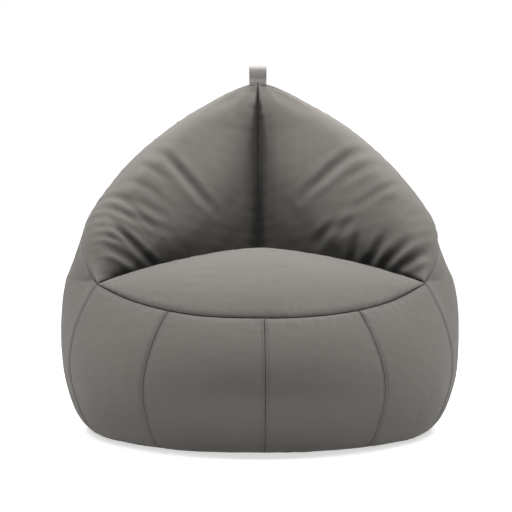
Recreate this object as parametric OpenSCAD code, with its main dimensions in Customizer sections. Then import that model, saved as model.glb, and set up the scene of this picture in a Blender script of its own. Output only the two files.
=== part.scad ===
// Teardrop bean bag chair: a sewn cover of ten wedge-shaped side panels, a seat panel,
// two back panels and a two-piece base with a zip, around a zipped liner full of beads.
// The front faces -Y and the bag rests on z = 0. Angles round the bag start at the front
// and grow towards +X, so the front centre seam is at 0 and the rear one is at 180.

/* [Body] */
// Width across the sides at the widest height
body_width = 900; // [860:5:940]
// Height of the filled body, without the handle
body_height = 775; // [750:5:800]
// Height at which the body is widest
wide_height = 230; // [215:5:245]
// Radius of the round patch that lies flat on the floor
foot_radius = 360; // [350:2:370]
// How far the peak stands behind the middle of the foot
body_lean = 200; // [180:5:215]
// Thickness of the cover fabric with its lining
cover_thickness = 1.5; // [1:0.1:2]

/* [Seat] */
// Height of the seat seam at the front centre
front_seam_height = 289; // [280:1:298]
// Height of the corners where the seat, the arms and the sides meet
corner_height = 341; // [332:1:350]
// How far the front edge rolls in from the widest ring
front_roll = 100; // [88:1:108]
// How far the roll comes in at the corners
corner_roll = 56; // [48:1:60]
// How far the seat panel is crowned by its filling
seat_crown = 92; // [75:1:94]
// Distance of the crease behind the seat from the middle of the foot
crease_depth = 100; // [90:1:115]
// Height of the crease behind the seat
crease_height = 347; // [340:1:355]

/* [Back] */
// How far the two back panels swell forwards
back_swell = 78; // [60:1:85]
// How far the centre seam of the back sinks in
valley_sag = 26; // [15:1:32]

/* [Handle] */
// Width of the webbing
webbing_width = 40; // [32:1:44]
// Thickness of the webbing
webbing_thickness = 2; // [1.6:0.1:2.2]
// Height of the handle above the peak
handle_height = 38; // [34:1:50]
// Depth of the loop from its front layer to its rear layer
loop_depth = 18; // [13:1:22]

/* [Zips] */
// Length of the cover zip between its stops
zip_length = 540; // [480:10:560]
// Length of the liner zip between its stops
liner_zip_length = 300; // [260:10:340]
// Distance of the liner zip behind the cover zip
liner_zip_offset = 110; // [100:5:130]

/* [Inner layers] */
// Distance from the outside of the cover to the outside of the liner
liner_inset = 4; // [3.5:0.1:4.5]
// Thickness of the liner fabric
liner_thickness = 0.8; // [0.6:0.1:0.9]
// Distance from the outside of the cover to the beads
fill_inset = 8; // [7:0.5:8.5]

/* [Hidden] */

fabric_colour = "#7b7772";
webbing_colour = "#85827e";
liner_colour = "#ece9e2";
bead_colour = "#fbfbf9";
tape_colour = "#55514d";
coil_colour = "#45423f";
metal_colour = "#8d8b88";

// Panels
panel_angle = 36;           // one side panel spans this much of the ring
corner_angle = 72;          // the seat corners stand over the second side seam
rim_swing = 34;             // the rim moves back this much more on its way to the peak
panel_gap = 0.04;           // degrees left clear beside each side seam
seam_margin = 0.003;        // share of the seat and back left clear along their seams
corner_margin = 0.03;       // share of the seat left clear at its two pointed corners
low_edge = 1.6;             // the side panels start this far above the floor
peak_radius = 14;           // the panels stop at this ring, where the handle comes out
body_shift = -6;            // moves the body so that its box is centred over the origin

// Grid of each panel: columns across, and rows below and above the seat corners
gore_cols = 4;
low_rows = 11;
high_rows = 11;
seat_rows = 10;
back_cols = 2 * gore_cols;
seat_cols = 2 * back_cols;

// Rings of the body, seen from above
function rise(z) = min(1, max(0, (z - wide_height) / (body_height - wide_height)));
function ring_radius(z) = z < wide_height
    ? foot_radius + (body_width / 2 - foot_radius) * sqrt(1 - pow(1 - z / wide_height, 2))
    : body_width / 2 * pow(1 - pow(rise(z), 2.1), 0.735);
function ring_y(z) = body_shift + body_lean * pow(rise(z), 3);

// Height of the ring that has the radius r, above the widest one
function ring_height(r) = wide_height + (body_height - wide_height)
    * pow(1 - pow(2 * r / body_width, 1 / 0.735), 1 / 2.1);
peak_height = ring_height(peak_radius);

// The rim is the seam round the seat and back: its height over the front panels,
// and its angle on the rings above the corners
function rim_height(angle) = front_seam_height
    + (corner_height - front_seam_height) * pow(min(1, abs(angle) / corner_angle), 2.4);
function rim_angle(z) = z <= corner_height ? corner_angle
    : corner_angle + rim_swing * pow((z - corner_height) / (body_height - corner_height), 0.55);

// How far the body rolls in below the rim
roll_start = 0.36;
peak_roll = 3;
roll_fade = 125;
roll_spread = 12;
function roll_share(z, top) = pow(max(0, (z / top - roll_start) / (1 - roll_start)), 1.8);
function front_roll_at(angle, z) = roll_share(z, rim_height(angle))
    * (front_roll + (corner_roll - front_roll) * pow(abs(angle) / corner_angle, 4));
function side_roll_at(angle, z) = exp(-pow((angle - rim_angle(z)) / roll_spread, 2))
    * (z <= corner_height ? corner_roll * roll_share(z, corner_height)
        : peak_roll + (corner_roll - peak_roll)
            * pow(max(0, 1 - (z - corner_height) / roll_fade), 1.5));
function roll(angle, z) = abs(angle) <= corner_angle
    ? front_roll_at(angle, z) : side_roll_at(abs(angle), z);

// A point of the sides, inset by e from the outside of the cover; share is 0 at the floor
// and 1 at the rim, and lifts the point off the floor or drops it below the rim
function side_point(angle, z, share, e) =
    let (r = ring_radius(z) - roll(angle, z) - e)
    [r * sin(angle), ring_y(z) - r * cos(angle), z + e * (1 - 1.7 * share)];

// Rows of the side grid: low rows reach the rim at the front and the corners at the sides,
// and high rows go on from the corners to the peak
function row_share(row) = pow(row / low_rows, 1.25);
function low_height(angle, row) = low_edge + (rim_height(angle) - low_edge) * row_share(row);
function high_height(row) = corner_height
    + (peak_height - corner_height) * (1 - cos(180 * row / high_rows)) / 2;

// One point of a side panel: from a1 to a2 across, with the rim as the edge next to the arm
function side_grid(a1, a2, col, row, e) = row <= low_rows
    ? let (angle = a1 + (a2 - a1) * col / gore_cols)
        side_point(angle, low_height(angle, row), row_share(row), e)
    : let (z = high_height(row - low_rows), a0 = max(a1, rim_angle(z)))
        side_point(a0 + (a2 - a0) * col / gore_cols, z, 1, e);

// Crease between the seat and the back, for x from -1 to 1 of its half width
function crease_point(x, e) =
    let (tip = side_point(corner_angle, corner_height, 1, e),
         mid = [0, crease_depth + body_shift + 2.2 * e, crease_height - 0.9 * e])
    [tip[0] * x, mid[1] + (tip[1] - mid[1]) * pow(abs(x), 2.2),
     mid[2] + (tip[2] - mid[2]) * pow(abs(x), 3)];

// Seat: x runs across from -1 to 1 and t from the front edge to the crease
function seat_swell(x, t) = (1 - pow(abs(2 * t - 1), 2.4)) * pow(1 - pow(abs(x), 1.6), 1.3);
function seat_point(x, t, e) =
    let (angle = corner_angle * x,
         front = side_point(angle, rim_height(angle), 1, e),
         rear = crease_point(sin(angle) / sin(corner_angle), e))
    front + (rear - front) * t + [0, 0, seat_crown * seat_swell(x, t)];

// Right half of the back: s runs from the centre seam to the rim, h from the crease up.
// It swells square to the sloping rim, most of all just inside it, where it makes the arm.
back_lean = [0, -0.8, 0.6];
function back_bulge(s, h) = 1.15 * pow(s, 0.8) * pow(1 - pow(s, 7), 0.55)
    * pow(sin(180 * sqrt(h)), 0.8);
function back_point(s, h, e) =
    let (z = corner_height + (peak_height - corner_height) * h,
         edge = side_point(rim_angle(z), z, 1, e),
         corner = crease_point(1, e),
         low = crease_point(0, e),
         high = [0, ring_y(peak_height) - peak_radius + e, peak_height - 0.7 * e],
         sag = [0, (valley_sag + e) * sin(180 * h), 0],
         centre = low + (high - low) * h + sag,
         crease = crease_point(s, e) - (low + (corner - low) * s))
    centre + (edge - centre) * s + crease * pow(1 - h, 3)
        + back_swell * back_bulge(s, h) * back_lean;

// Inside its borders a seat or back layer is inset square to the surface
function unit(v) = v / norm(v);
step = 0.002;
function seat_normal(x, t) = unit(cross(
    seat_point(x + step, t, 0) - seat_point(x - step, t, 0),
    seat_point(x, t + step, 0) - seat_point(x, t - step, 0)));
function back_normal(s, h) = unit(cross(
    back_point(s + step, h, 0) - back_point(s - step, h, 0),
    back_point(s, h + step, 0) - back_point(s, h - step, 0)));
function seat_layer(x, t, e, border) = border || e == 0
    ? seat_point(x, t, e) : seat_point(x, t, 0) - e * seat_normal(x, t);
function back_layer(s, h, e, border) = border || e == 0
    ? back_point(s, h, e) : back_point(s, h, 0) - e * back_normal(s, h);
function is_border(i, j, cols, rows) = i == 0 || j == 0 || i == cols || j == rows;

// Places across and up the back that meet the columns of the seat and the rows of the sides
function back_across(col) = sin(corner_angle * col / back_cols) / sin(corner_angle);
function back_share(row) = (high_height(row) - corner_height) / (peak_height - corner_height);

function mirror_x(p) = [-p[0], p[1], p[2]];

// Faces of a grid of (cols + 1) by (rows + 1) points that start at the index first
function grid_faces(cols, rows, first, flip) = [
    for (j = [0 : rows - 1], i = [0 : cols - 1])
        let (a = first + j * (cols + 1) + i, b = a + 1, c = a + cols + 1, d = c + 1)
        each flip ? [[a, b, d], [a, d, c]] : [[a, d, b], [a, c, d]]
];

// A band of faces between two equal runs of points, each a list of indices
function band_faces(p, q) = [
    for (i = [0 : len(p) - 2])
        each [[p[i], p[i + 1], q[i + 1]], [p[i], q[i + 1], q[i]]]
];

// The whole bag, inset by e, as one list of patches that share their borders. The right side
// comes first, then its mirror image, then the seat.
panel_rows = [low_rows, low_rows, low_rows + high_rows, low_rows + high_rows,
    low_rows + high_rows];
right_sizes = concat([for (rows = panel_rows) [gore_cols, rows]], [[back_cols, high_rows]]);
patch_sizes = concat(right_sizes, right_sizes, [[seat_cols, seat_rows]]);
patch_counts = [for (size = patch_sizes) (size[0] + 1) * (size[1] + 1)];
function patch_first(k) = k == 0 ? 0 : patch_first(k - 1) + patch_counts[k - 1];

function right_points(e) = concat(
    [for (k = [0 : 4], j = [0 : panel_rows[k]], i = [0 : gore_cols])
        side_grid(k * panel_angle, (k + 1) * panel_angle, i, j, e)],
    [for (j = [0 : high_rows], i = [0 : back_cols])
        back_layer(back_across(i), back_share(j), e, is_border(i, j, back_cols, high_rows))]
);
function seat_points(e) = [for (j = [0 : seat_rows], i = [0 : seat_cols])
    seat_layer(2 * i / seat_cols - 1, j / seat_rows, e, is_border(i, j, seat_cols, seat_rows))];
// rounded, so that two patches meet in the very same points
function body_points(e) =
    let (right = right_points(e))
    [for (p = concat(right, [for (p = right) mirror_x(p)], seat_points(e)))
        [for (c = p) round(c * 1000) / 1000]];

// Runs of points round the foot and round the peak, both anticlockwise from above
function low_run(k) = [for (i = [0 : gore_cols - 1]) patch_first(k) + i];
function low_run_back(k) = [for (i = [0 : gore_cols - 1]) patch_first(k) + gore_cols - i];
function high_run(k) = [for (i = low_run(k)) i + patch_sizes[k][1] * (gore_cols + 1)];
function high_run_back(k) = [for (i = low_run_back(k)) i + patch_sizes[k][1] * (gore_cols + 1)];
foot_run = concat([for (k = [0 : 4]) each low_run(k)],
    [for (k = [10 : -1 : 6]) each low_run_back(k)]);
peak_run = concat(
    [for (k = [2 : 4]) each high_run(k)],
    [for (k = [10 : -1 : 8]) each high_run_back(k)],
    [for (i = [0 : back_cols - 1]) patch_first(11) + high_rows * (back_cols + 1) + back_cols - i],
    [for (i = [0 : back_cols - 1]) patch_first(5) + high_rows * (back_cols + 1) + i]
);
function reversed(run) = [for (i = [len(run) - 1 : -1 : 0]) run[i]];
function closed(run) = concat(run, [run[0]]);
function shifted(run, n) = [for (i = run) i + n];

// Faces of the whole bag except its foot; a flipped bag faces inwards
function body_faces(first, flip) = concat(
    [for (k = [0 : len(patch_sizes) - 1])
        each grid_faces(patch_sizes[k][0], patch_sizes[k][1], first + patch_first(k),
            (k >= len(right_sizes) && k < 2 * len(right_sizes)) != flip)],
    [shifted(flip ? peak_run : reversed(peak_run), first)]
);

// A thin closed shell between two equal grids, the outer one first
module shell(outer, inner, cols, rows) {
    n = len(outer);
    border = concat(
        [for (i = [0 : cols]) i],
        [for (j = [1 : rows]) j * (cols + 1) + cols],
        [for (i = [1 : cols]) rows * (cols + 1) + cols - i],
        [for (j = [1 : rows]) (rows - j) * (cols + 1)]
    );
    polyhedron(
        concat(outer, inner),
        concat(
            grid_faces(cols, rows, 0, false),
            grid_faces(cols, rows, n, true),
            band_faces(border, [for (i = border) i + n])
        )
    );
}

// One side panel between two side seams
module side_panel(a1, a2, rows) {
    outer = [for (j = [0 : rows], i = [0 : gore_cols])
        side_grid(a1 + panel_gap, a2 - panel_gap, i, j, 0)];
    inner = [for (j = [0 : rows], i = [0 : gore_cols])
        side_grid(a1 + panel_gap, a2 - panel_gap, i, j, cover_thickness)];
    color(fabric_colour) shell(outer, inner, gore_cols, rows);
}

// The side panels on the +X side, counted from the front
module right_side_panel(i) {
    rows = i < 2 ? low_rows : low_rows + high_rows;
    side_panel(i * panel_angle, (i + 1) * panel_angle, rows);
}
module gore_front_right() { right_side_panel(0); }
module gore_front_side_right() { right_side_panel(1); }
module gore_side_right() { right_side_panel(2); }
module gore_rear_side_right() { right_side_panel(3); }
module gore_rear_right() { right_side_panel(4); }
module gore_front_left() { mirror([1, 0, 0]) gore_front_right(); }
module gore_front_side_left() { mirror([1, 0, 0]) gore_front_side_right(); }
module gore_side_left() { mirror([1, 0, 0]) gore_side_right(); }
module gore_rear_side_left() { mirror([1, 0, 0]) gore_rear_side_right(); }
module gore_rear_left() { mirror([1, 0, 0]) gore_rear_right(); }

// Seat panel, crowned over the beads
module seat_panel() {
    function at(i, j, e) = seat_layer(
        (2 * i / seat_cols - 1) * (1 - corner_margin),
        seam_margin + (1 - 2 * seam_margin) * j / seat_rows,
        e, is_border(i, j, seat_cols, seat_rows));
    outer = [for (j = [0 : seat_rows], i = [0 : seat_cols]) at(i, j, 0)];
    inner = [for (j = [0 : seat_rows], i = [0 : seat_cols]) at(i, j, cover_thickness)];
    color(fabric_colour) shell(outer, inner, seat_cols, seat_rows);
}

// Back panels, from the centre seam over the arm to the rim
module back_panel_right() {
    function at(i, j, e) = back_layer(
        seam_margin + (1 - 2 * seam_margin) * back_across(i),
        max(seam_margin, back_share(j)),
        e, is_border(i, j, back_cols, high_rows));
    outer = [for (j = [0 : high_rows], i = [0 : back_cols]) at(i, j, 0)];
    inner = [for (j = [0 : high_rows], i = [0 : back_cols]) at(i, j, cover_thickness)];
    color(fabric_colour) shell(outer, inner, back_cols, high_rows);
}
module back_panel_left() { mirror([1, 0, 0]) back_panel_right(); }

// Base: two half rounds whose inner edges turn up round the zip
base_radius = ring_radius(low_edge) - 2;
zip_channel_width = 28;
zip_channel_height = 12;
zip_channel_length = zip_length + 50;
seam_gap = 0.2;

module at_foot() { translate([0, body_shift, 0]) children(); }

module base_half() {
    half = zip_channel_width / 2;
    wall = half + cover_thickness;
    color(fabric_colour)
    difference() {
        union() {
            intersection() {
                cylinder(r = base_radius, h = cover_thickness, $fn = 96);
                translate([-base_radius, seam_gap, 0])
                    cube([2 * base_radius, base_radius, cover_thickness]);
            }
            translate([-zip_channel_length / 2 - cover_thickness, seam_gap, 0])
                cube([zip_channel_length + 2 * cover_thickness, wall - seam_gap, zip_channel_height]);
        }
        translate([-zip_channel_length / 2, -1, -1])
            cube([zip_channel_length, half + 1, zip_channel_height + 2]);
    }
}
module base_panel_front() { at_foot() mirror([0, 1, 0]) base_half(); }
module base_panel_rear() { at_foot() base_half(); }

// Zip, drawn along X about the middle of its chain. chain is half the gap between the coils,
// coil the radius of a coil, tape_w the width of one tape and tape_t its thickness.
cover_zip = [0.8, 1.3, 12.6, 0.6];
liner_zip = [0.6, 0.9, 9, 0.5];
cover_zip_z = zip_channel_height - 2.9;
function coil_gap(z) = z[0];
function coil_radius(z) = z[1];
function tape_width(z) = z[2];
function tape_thickness(z) = z[3];
tape_clearance = 0.05;
zip_tail = 20;

module zip_tape(z, length, side) {
    inner = coil_gap(z) + 0.2;
    color(tape_colour)
    translate([
        -length / 2 - zip_tail,
        side > 0 ? inner : -inner - tape_width(z),
        coil_radius(z) + tape_clearance
    ])
        cube([length + 2 * zip_tail, tape_width(z), tape_thickness(z)]);
}

module zip_coil(z, length, side) {
    color(coil_colour)
    translate([-length / 2, side * (coil_gap(z) + coil_radius(z)), 0])
        rotate([0, 90, 0]) cylinder(r = coil_radius(z), h = length, $fn = 32);
}

// The slider holds both coils between two plates that a post joins
module zip_slider_body(z, body_length) {
    clear = 0.35;
    plate = 1.1;
    reach = coil_gap(z) + 2 * coil_radius(z) + clear;
    wall = 1;
    under = -coil_radius(z) - clear;
    over = coil_radius(z) + tape_clearance + tape_thickness(z) + clear;
    post = coil_gap(z) - clear;
    lip_top = coil_radius(z) - clear;
    color(metal_colour)
    difference() {
        union() {
            translate([0, -reach - wall, under - plate])
                cube([body_length, 2 * (reach + wall), plate]);
            translate([0, -reach - wall, over])
                cube([body_length, 2 * (reach + wall), plate]);
            for (side = [-1, 1])
                translate([0, side > 0 ? reach : -reach - wall, under - plate])
                    cube([body_length, wall, lip_top - under + plate]);
            translate([body_length * 0.3, -post, under - plate / 2])
                cube([body_length * 0.4, 2 * post, over - under + plate]);
        }
        // the ends are chamfered so that the plates do not catch on the fabric
        for (x = [0, body_length])
            translate([x, 0, under - plate])
                rotate([0, 45, 0])
                    cube([plate, 4 * reach, plate], center = true);
    }
}

// A stop is a clip over both coils at one end of the chain
module zip_stop(z) {
    reach = coil_gap(z) + 2 * coil_radius(z);
    color(metal_colour)
    translate([0, -reach, -coil_radius(z)])
        cube([4, 2 * reach, 2 * coil_radius(z)]);
}

slider_length = 16;
liner_slider_length = 12;
module at_cover_zip() { at_foot() translate([0, 0, cover_zip_z]) children(); }
module zip_tape_front() { at_cover_zip() zip_tape(cover_zip, zip_length, -1); }
module zip_tape_rear() { at_cover_zip() zip_tape(cover_zip, zip_length, 1); }
module zip_coil_front() { at_cover_zip() zip_coil(cover_zip, zip_length, -1); }
module zip_coil_rear() { at_cover_zip() zip_coil(cover_zip, zip_length, 1); }
module zip_slider() {
    at_cover_zip() translate([zip_length / 2 - slider_length - 1, 0, 0])
        zip_slider_body(cover_zip, slider_length);
}
module zip_start_stop() {
    at_cover_zip() translate([-zip_length / 2 - 4.5, 0, 0]) zip_stop(cover_zip);
}
module zip_end_stop() {
    at_cover_zip() translate([zip_length / 2 + 0.5, 0, 0]) zip_stop(cover_zip);
}

// Fabric tabs that bind the tape ends beyond the stops
module zip_end_patches() {
    tab = [14, zip_channel_width - 1, 0.8];
    under_tape = coil_radius(cover_zip) + tape_clearance - tab[2] - 0.1;
    color(fabric_colour)
    at_cover_zip()
    for (side = [-1, 1])
        translate([
            side * (zip_length / 2 + zip_tail - tab[0] / 2) - tab[0] / 2,
            -tab[1] / 2,
            under_tape
        ])
            cube(tab);
}

// Liner: a bag of light fabric inside the cover, with a zipped base of its own
module liner_body() {
    outer = body_points(liner_inset);
    inner = body_points(liner_inset + liner_thickness);
    n = len(outer);
    rim = closed(foot_run);
    color(liner_colour)
    polyhedron(
        concat(outer, inner),
        concat(body_faces(0, false), body_faces(n, true), band_faces(rim, shifted(rim, n)))
    );
}

liner_base_top = low_edge + liner_inset - 0.2;
liner_base_bottom = liner_base_top - liner_thickness;
liner_base_radius = base_radius - liner_inset;
liner_zip_y = body_shift + liner_zip_offset;
liner_channel_width = 20;
liner_channel_top = liner_base_bottom + 9;
liner_channel_length = liner_zip_length + 50;
layer_gap = 1;
zip_roof = zip_channel_height + 1.2;

// The tunnel over the cover zip, one fabric thick; grow thickens its outside or thins its inside
module zip_tunnel(grow) {
    length = zip_channel_length + 2 * (cover_thickness + layer_gap + grow);
    width = zip_channel_width + 2 * (cover_thickness + layer_gap + grow);
    translate([-length / 2, body_shift - width / 2, liner_base_bottom - 1])
        cube([length, width, zip_roof + grow - liner_base_bottom + 1]);
}
module liner_channel(grow) {
    length = liner_channel_length + 2 * grow;
    width = liner_channel_width + 2 * grow;
    translate([-length / 2, liner_zip_y - width / 2, liner_base_bottom - 1])
        cube([length, width, liner_channel_top - liner_base_bottom + 1]);
}
module liner_plate() {
    translate([0, body_shift, liner_base_bottom])
        cylinder(r = liner_base_radius, h = liner_thickness, $fn = 96);
}
// everything in front of (side -1) or behind (side 1) the liner zip
module liner_side(side) {
    near = side > 0 ? seam_gap : -seam_gap - body_width;
    translate([-body_width / 2, liner_zip_y + near, 0])
        cube([body_width, body_width, 2 * liner_channel_top]);
}
module liner_base_front() {
    color(liner_colour)
    intersection() {
        difference() {
            union() {
                liner_plate();
                intersection() {
                    zip_tunnel(liner_thickness);
                    translate([-body_width / 2, -body_width / 2, liner_base_bottom])
                        cube([body_width, body_width, zip_roof]);
                }
                liner_wall();
            }
            zip_tunnel(0);
            liner_channel(0);
        }
        liner_side(-1);
    }
}
module liner_wall() {
    difference() {
        liner_channel(liner_thickness);
        translate([0, 0, -liner_channel_top + liner_base_bottom])
            liner_channel(2 * liner_thickness);
    }
}
module liner_base_rear() {
    color(liner_colour)
    intersection() {
        difference() {
            union() {
                liner_plate();
                liner_wall();
            }
            liner_channel(0);
        }
        liner_side(1);
    }
}

module at_liner_zip() {
    translate([0, liner_zip_y, liner_channel_top - 2.1]) children();
}
module liner_zip_tapes() {
    at_liner_zip() for (side = [-1, 1]) zip_tape(liner_zip, liner_zip_length, side);
}
module liner_zip_coils() {
    at_liner_zip() for (side = [-1, 1]) zip_coil(liner_zip, liner_zip_length, side);
}
module liner_zip_slider() {
    at_liner_zip() translate([liner_zip_length / 2 - liner_slider_length - 1, 0, 0])
        zip_slider_body(liner_zip, liner_slider_length);
}
module liner_zip_stops() {
    at_liner_zip() {
        translate([-liner_zip_length / 2 - 4.5, 0, 0]) zip_stop(liner_zip);
        translate([liner_zip_length / 2 + 0.5, 0, 0]) zip_stop(liner_zip);
    }
}

// Beads: one closed solid that fills the liner, with room for both zips in its flat base
module bead_fill() {
    color(bead_colour)
    difference() {
        polyhedron(body_points(fill_inset), concat(body_faces(0, false), [foot_run]));
        zip_tunnel(liner_thickness + layer_gap);
        translate([0, 0, layer_gap]) liner_channel(liner_thickness + layer_gap);
    }
}

// Handle: a folded loop of webbing whose ends are caught in the seam at the peak
root_height = 5;
root_tail = 9;
pivot_gap = 0.4;
neck = 2 * webbing_thickness;
pivot_height = peak_height + 0.5 + root_height + pivot_gap + webbing_thickness;
module at_peak() { translate([0, ring_y(peak_height), 0]) children(); }
module handle_root() {
    color(webbing_colour)
    at_peak() {
        translate([-webbing_width / 2, -neck / 2, peak_height + 0.5])
            cube([webbing_width, neck, root_height]);
        translate([-root_tail / 2, -neck / 2, peak_height - 2])
            cube([root_tail, neck, 2.5]);
    }
}
module loop_outline(depth, low) {
    top = body_height + handle_height - pivot_height - loop_depth / 2;
    translate([0, top]) circle(d = depth, $fn = 48);
    polygon([[-depth / 2, top], [-low[0], low[1]], [low[0], low[1]], [depth / 2, top]]);
}
module handle_loop() {
    color(webbing_colour)
    at_peak() translate([-webbing_width / 2, 0, pivot_height])
        rotate([90, 0, 90])
        linear_extrude(webbing_width) {
            difference() {
                loop_outline(loop_depth, [webbing_thickness, 4]);
                loop_outline(loop_depth - 2 * webbing_thickness, [0.3, 6]);
            }
            translate([-webbing_thickness, 0]) square([neck, 4.01]);
            circle(r = webbing_thickness, $fn = 32);
        }
}

seat_panel();
back_panel_left();
back_panel_right();
gore_front_left();
gore_front_right();
gore_front_side_left();
gore_front_side_right();
gore_side_left();
gore_side_right();
gore_rear_side_left();
gore_rear_side_right();
gore_rear_left();
gore_rear_right();
base_panel_front();
base_panel_rear();
handle_root();
handle_loop();
zip_tape_front();
zip_tape_rear();
zip_coil_front();
zip_coil_rear();
zip_slider();
zip_start_stop();
zip_end_stop();
zip_end_patches();
liner_body();
liner_base_front();
liner_base_rear();
liner_zip_tapes();
liner_zip_coils();
liner_zip_slider();
liner_zip_stops();
bead_fill();
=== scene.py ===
"""The looks of the teardrop bean bag chair: sewn panels, webbing loop, zips, liner and beads."""
import math
import bpy
import numpy as np
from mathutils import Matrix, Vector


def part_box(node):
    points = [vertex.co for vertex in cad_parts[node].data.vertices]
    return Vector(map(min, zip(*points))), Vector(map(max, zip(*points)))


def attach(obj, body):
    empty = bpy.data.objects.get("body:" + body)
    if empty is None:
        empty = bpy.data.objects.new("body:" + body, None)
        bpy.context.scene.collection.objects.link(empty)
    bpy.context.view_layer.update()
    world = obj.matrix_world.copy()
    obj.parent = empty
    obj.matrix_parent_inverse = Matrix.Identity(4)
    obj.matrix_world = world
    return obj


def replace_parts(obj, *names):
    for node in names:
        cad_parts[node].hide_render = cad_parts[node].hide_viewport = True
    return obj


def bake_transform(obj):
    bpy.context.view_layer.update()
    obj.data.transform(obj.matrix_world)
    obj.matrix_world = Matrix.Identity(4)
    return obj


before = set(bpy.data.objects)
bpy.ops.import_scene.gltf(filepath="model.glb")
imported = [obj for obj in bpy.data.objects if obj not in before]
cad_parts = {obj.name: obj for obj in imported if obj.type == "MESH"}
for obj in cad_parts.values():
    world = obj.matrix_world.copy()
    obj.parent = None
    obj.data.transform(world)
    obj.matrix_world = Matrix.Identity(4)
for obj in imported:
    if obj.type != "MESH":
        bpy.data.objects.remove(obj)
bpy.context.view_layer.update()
rng = np.random.default_rng(7)

# ---------------------------------------------------------------- sizes, in metres and degrees
WIDTH = 2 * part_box("gore_side_right")[1].x + 0.003
PEAK_RING = 0.004
PEAK_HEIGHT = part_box("gore_rear_left")[1].z + 0.0018
BODY_HEIGHT = PEAK_HEIGHT + 0.0006
WIDE_HEIGHT = 0.230
FOOT_CENTRE = (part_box("base_panel_front")[0].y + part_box("base_panel_rear")[1].y) / 2
FOOT_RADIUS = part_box("base_panel_rear")[1].x - 0.0086
HANDLE_Y = (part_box("handle_root")[0].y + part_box("handle_root")[1].y) / 2
LEAN = HANDLE_Y - FOOT_CENTRE + 0.0025
LOW_EDGE = 0.0016
SEAM_HEIGHT = 0.289
CORNER_HEIGHT = 0.341
FRONT_ROLL = 0.100
CORNER_ROLL = 0.056
PEAK_ROLL = 0.002
CROWN = 0.092
CREASE_Y = FOOT_CENTRE + 0.100
CREASE_HEIGHT = 0.347
SWELL = 0.078
VALLEY = 0.026

# exponents of the profile above the widest ring
PROFILE = (2.1, 0.735)

PANEL_ANGLE = 36
CORNER_ANGLE = 72
RIM_SWING = 34

# grid that the cloth is simulated on, and how much finer the finished panels are
COLS = 20
LOW_ROWS = 26
HIGH_ROWS = 34
SEAT_ROWS = 30
BACK_COLS = 2 * COLS
SEAT_COLS = 2 * BACK_COLS
FINER = 3

STITCH_OFFSET = 0.0075
STITCH_PITCH = 0.0046
STITCH_LENGTH = 0.0034
STITCH_RADIUS = 0.00042


# ---------------------------------------------------------------- the filled shape
def sind(a):
    return np.sin(np.radians(a))


def cosd(a):
    return np.cos(np.radians(a))


def rise(z):
    """The share of the way from the widest ring to the top."""
    return np.clip((z - WIDE_HEIGHT) / (BODY_HEIGHT - WIDE_HEIGHT), 0, 1)


def ring_radius(z):
    """Half the width of the body at a height."""
    low = FOOT_RADIUS + (WIDTH / 2 - FOOT_RADIUS) * np.sqrt(
        np.clip(1 - (1 - z / WIDE_HEIGHT) ** 2, 0, 1)
    )
    high = WIDTH / 2 * (1 - rise(z) ** PROFILE[0]) ** PROFILE[1]
    return np.where(z < WIDE_HEIGHT, low, high)


def ring_y(z):
    return FOOT_CENTRE + LEAN * rise(z) ** 3


def rim_height(angle):
    """Height of the seat seam at an angle from the front."""
    share = np.minimum(1, np.abs(angle) / CORNER_ANGLE)
    return SEAM_HEIGHT + (CORNER_HEIGHT - SEAM_HEIGHT) * share**2.4


def rim_angle(z):
    """The angle at which the arms meet the sides, at a height."""
    share = np.clip((z - CORNER_HEIGHT) / (BODY_HEIGHT - CORNER_HEIGHT), 0, 1)
    return CORNER_ANGLE + RIM_SWING * share**0.55


def roll_share(z, top):
    return np.clip((z / top - 0.36) / 0.64, 0, None) ** 1.8


def roll(angle, z):
    """How far the sides roll in below the rim."""
    front = roll_share(z, rim_height(angle)) * (
        FRONT_ROLL + (CORNER_ROLL - FRONT_ROLL) * (np.abs(angle) / CORNER_ANGLE) ** 4
    )
    above = PEAK_ROLL + (CORNER_ROLL - PEAK_ROLL) * np.clip(
        1 - (z - CORNER_HEIGHT) / 0.125, 0, 1
    ) ** 1.5
    side = np.where(z <= CORNER_HEIGHT, CORNER_ROLL * roll_share(z, CORNER_HEIGHT), above)
    side = side * np.exp(-(((np.abs(angle) - rim_angle(z)) / 12) ** 2))
    return np.where(np.abs(angle) <= CORNER_ANGLE + 1e-6, front, side)


def side_point(angle, z, share, inset=0.0):
    """A point of the sides; share is 0 at the floor and 1 at the rim."""
    r = np.maximum(ring_radius(z) - roll(angle, z) - inset, 0.002)
    return np.stack(
        [r * sind(angle), ring_y(z) - r * cosd(angle), z + inset * (1 - 1.7 * share)], -1
    )


PEAK_TOP = WIDE_HEIGHT + (BODY_HEIGHT - WIDE_HEIGHT) * (
    1 - (2 * PEAK_RING / WIDTH) ** (1 / PROFILE[1])
) ** (1 / PROFILE[0])


def side_patch(first, inset=0.0, cols=COLS, low_rows=LOW_ROWS, high_rows=HIGH_ROWS):
    """The side panel that starts at the angle first, as rows of points from the floor up."""
    angle = first + PANEL_ANGLE * np.linspace(0, 1, cols + 1)[None, :]
    share = (np.arange(low_rows + 1) / low_rows)[:, None] ** 1.25
    z = LOW_EDGE + (rim_height(angle) - LOW_EDGE) * share
    low = side_point(angle + 0 * z, z, share + 0 * z, inset)
    if first + PANEL_ANGLE <= CORNER_ANGLE:
        return low
    step = np.arange(1, high_rows + 1)
    z = (CORNER_HEIGHT + (PEAK_TOP - CORNER_HEIGHT) * high_share(step, high_rows))[:, None]
    near = np.maximum(first, rim_angle(z))
    angle = near + (first + PANEL_ANGLE - near) * np.linspace(0, 1, cols + 1)[None, :]
    high = side_point(angle, z + 0 * angle, 1.0 + 0 * angle, inset)
    return np.concatenate([low, high])


def high_share(step, high_rows=HIGH_ROWS):
    return (1 - np.cos(np.pi * step / high_rows)) / 2


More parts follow.
